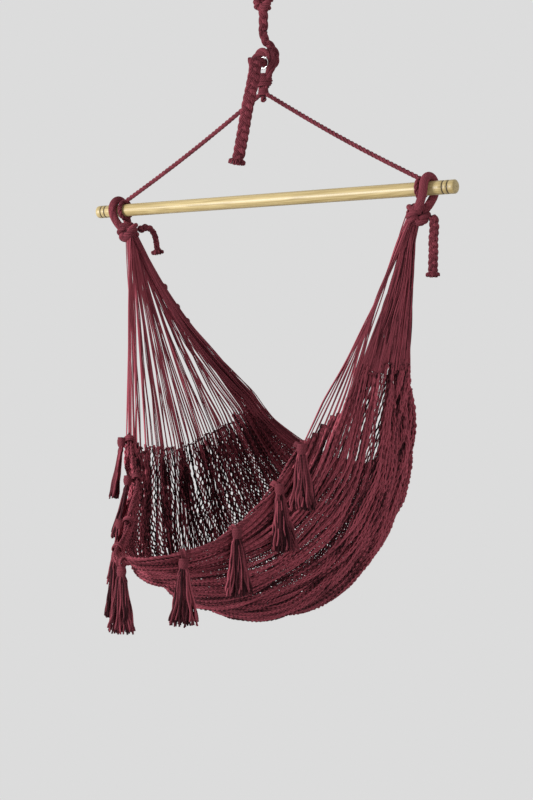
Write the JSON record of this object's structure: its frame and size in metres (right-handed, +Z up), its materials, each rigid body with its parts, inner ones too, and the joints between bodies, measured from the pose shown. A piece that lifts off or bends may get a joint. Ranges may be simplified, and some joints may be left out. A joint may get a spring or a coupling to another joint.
{
  "type": "hammock chair",
  "caption": "Hanging net chair: a rope loop, hitch and ring carry a roped bridle and turned wooden bar, with fans of strings holding a deep netted seat edged with tassels.",
  "frame": {"origin": "inside top of the rope loop, where the ceiling hook holds the chair", "axes": "+Z up, +X along the wooden bar to the right as seen from the front, -Y the way the sitter faces"},
  "size_m": [1, 0.96, 1.531],
  "materials": {
    "plaited_rope": "matte plaited cotton rope",
    "wrapped_cord": "matte cotton cord, wrapped",
    "net_yarn": "matte cotton yarn, knotted and woven",
    "bar_wood": "pale clear-varnished wood, satin",
    "ring_steel": "bright plated ring"
  },
  "bodies": {
    "hanger": {"hang_loop": "plaited_rope", "top_knot": "plaited_rope"},
    "rope": {"hanging_rope": "plaited_rope"},
    "hitch": {"hitch": "plaited_rope"},
    "bridle": {"eye_ring": "ring_steel", "eye_wrap": "wrapped_cord", "apex_whipping": "wrapped_cord", "wrap_knob": "wrapped_cord", "bridle_leg_left": "plaited_rope", "bridle_leg_right": "plaited_rope", "bar_hitch_left": "plaited_rope", "bar_hitch_right": "plaited_rope"},
    "bar": {"spreader_bar": "bar_wood"},
    "seat": {"arm_loop_left": "plaited_rope", "arm_knot_left": "plaited_rope", "arm_loop_right": "plaited_rope", "arm_knot_right": "plaited_rope", "strings_left_front": "net_yarn", "strings_left_middle": "net_yarn", "strings_left_back": "net_yarn", "strings_right_front": "net_yarn", "strings_right_middle": "net_yarn", "strings_right_back": "net_yarn", "seat_net": "net_yarn", "front_edge_cord": "wrapped_cord", "back_edge_cord": "net_yarn"},
    "rope_tail": {"rope_tail": "plaited_rope", "rope_tail_end": "wrapped_cord"},
    "arm_tail_left": {"arm_tail_left": "plaited_rope", "arm_tail_end_left": "wrapped_cord"},
    "arm_tail_right": {"arm_tail_right": "plaited_rope", "arm_tail_end_right": "wrapped_cord"},
    "tassel_1": {"tassel_head_1": "wrapped_cord", "tassel_skirt_1": "net_yarn"},
    "tassel_2": {"tassel_head_2": "wrapped_cord", "tassel_skirt_2": "net_yarn"},
    "tassel_3": {"tassel_head_3": "wrapped_cord", "tassel_skirt_3": "net_yarn"},
    "tassel_4": {"tassel_head_4": "wrapped_cord", "tassel_skirt_4": "net_yarn"},
    "tassel_5": {"tassel_head_5": "wrapped_cord", "tassel_skirt_5": "net_yarn"},
    "tassel_6": {"tassel_head_6": "wrapped_cord", "tassel_skirt_6": "net_yarn"},
    "tassel_7": {"tassel_head_7": "wrapped_cord", "tassel_skirt_7": "net_yarn"},
    "tassel_8": {"tassel_head_8": "wrapped_cord", "tassel_skirt_8": "net_yarn"},
    "tassel_9": {"tassel_head_9": "wrapped_cord", "tassel_skirt_9": "net_yarn"}
  },
  "joints": [
    {"name": "rope_swing", "type": "hinge", "parent": "hanger", "child": "rope", "pos_m": [0, 0, -0.13555], "axis": [1, 0, 0], "range_deg": [-28, 28]},
    {"name": "rope_twist", "type": "hinge", "parent": "rope", "child": "hitch", "pos_m": [0, 0, -0.17385], "axis": [0, 0, 1], "range_deg": [-180, 180]},
    {"name": "eye_rock", "type": "hinge", "parent": "hitch", "child": "bridle", "pos_m": [0, 0, -0.24575], "axis": [0, 1, 0], "range_deg": [-15, 15]},
    {"name": "bar_roll", "type": "hinge", "parent": "bridle", "child": "bar", "pos_m": [0, 0, -0.55675], "axis": [1, 0, 0], "continuous": true},
    {"name": "seat_swing", "type": "hinge", "parent": "bridle", "child": "seat", "pos_m": [0, 0, -0.55675], "axis": [1, 0, 0], "range_deg": [-30, 30]},
    {"name": "rope_tail_swing", "type": "hinge", "parent": "hitch", "child": "rope_tail", "pos_m": [0, -0.037, -0.24575], "axis": [-1, 0, 0], "range_deg": [0, 70]},
    {"name": "arm_tail_left_lift", "type": "hinge", "parent": "seat", "child": "arm_tail_left", "pos_m": [-0.394, 0.029, -0.60475], "axis": [1, 0, 0], "range_deg": [0, 40]},
    {"name": "arm_tail_right_swing", "type": "hinge", "parent": "seat", "child": "arm_tail_right", "pos_m": [0.438, 0.01, -0.61475], "axis": [0, -1, 0], "range_deg": [0, 60]},
    {"name": "tassel_swing_1", "type": "hinge", "parent": "seat", "child": "tassel_1", "pos_m": [-0.2336, -0.19626, -1.10036], "axis": [-0.3817, 0.3636, 0.8498], "range_deg": [0, 25]},
    {"name": "tassel_swing_2", "type": "hinge", "parent": "seat", "child": "tassel_2", "pos_m": [-0.17567, -0.24221, -1.18196], "axis": [-0.5417, 0.4922, 0.6814], "range_deg": [0, 60]},
    {"name": "tassel_swing_3", "type": "hinge", "parent": "seat", "child": "tassel_3", "pos_m": [-0.12337, -0.32955, -1.26955], "axis": [-0.4132, 0.7387, 0.5325], "range_deg": [0, 60]},
    {"name": "tassel_swing_4", "type": "hinge", "parent": "seat", "child": "tassel_4", "pos_m": [-0.07716, -0.41643, -1.31565], "axis": [-0.4591, 0.8364, 0.2994], "range_deg": [-10, 60]},
    {"name": "tassel_swing_5", "type": "hinge", "parent": "seat", "child": "tassel_5", "pos_m": [0, -0.492, -1.33142], "axis": [-1, 0, 0], "range_deg": [-15, 60]},
    {"name": "tassel_swing_6", "type": "hinge", "parent": "seat", "child": "tassel_6", "pos_m": [0.10048, -0.41643, -1.31565], "axis": [-0.6674, -0.7011, -0.251], "range_deg": [-25, 60]},
    {"name": "tassel_swing_7", "type": "hinge", "parent": "seat", "child": "tassel_7", "pos_m": [0.16337, -0.32955, -1.26955], "axis": [-0.4132, -0.7387, -0.5325], "range_deg": [0, 60]},
    {"name": "tassel_swing_8", "type": "hinge", "parent": "seat", "child": "tassel_8", "pos_m": [0.20703, -0.24221, -1.18196], "axis": [-0.2823, -0.5617, -0.7777], "range_deg": [0, 60]},
    {"name": "tassel_swing_9", "type": "hinge", "parent": "seat", "child": "tassel_9", "pos_m": [0.23439, -0.19626, -1.10036], "axis": [-0.2873, -0.3768, -0.8806], "range_deg": [0, 25]}
  ]
}
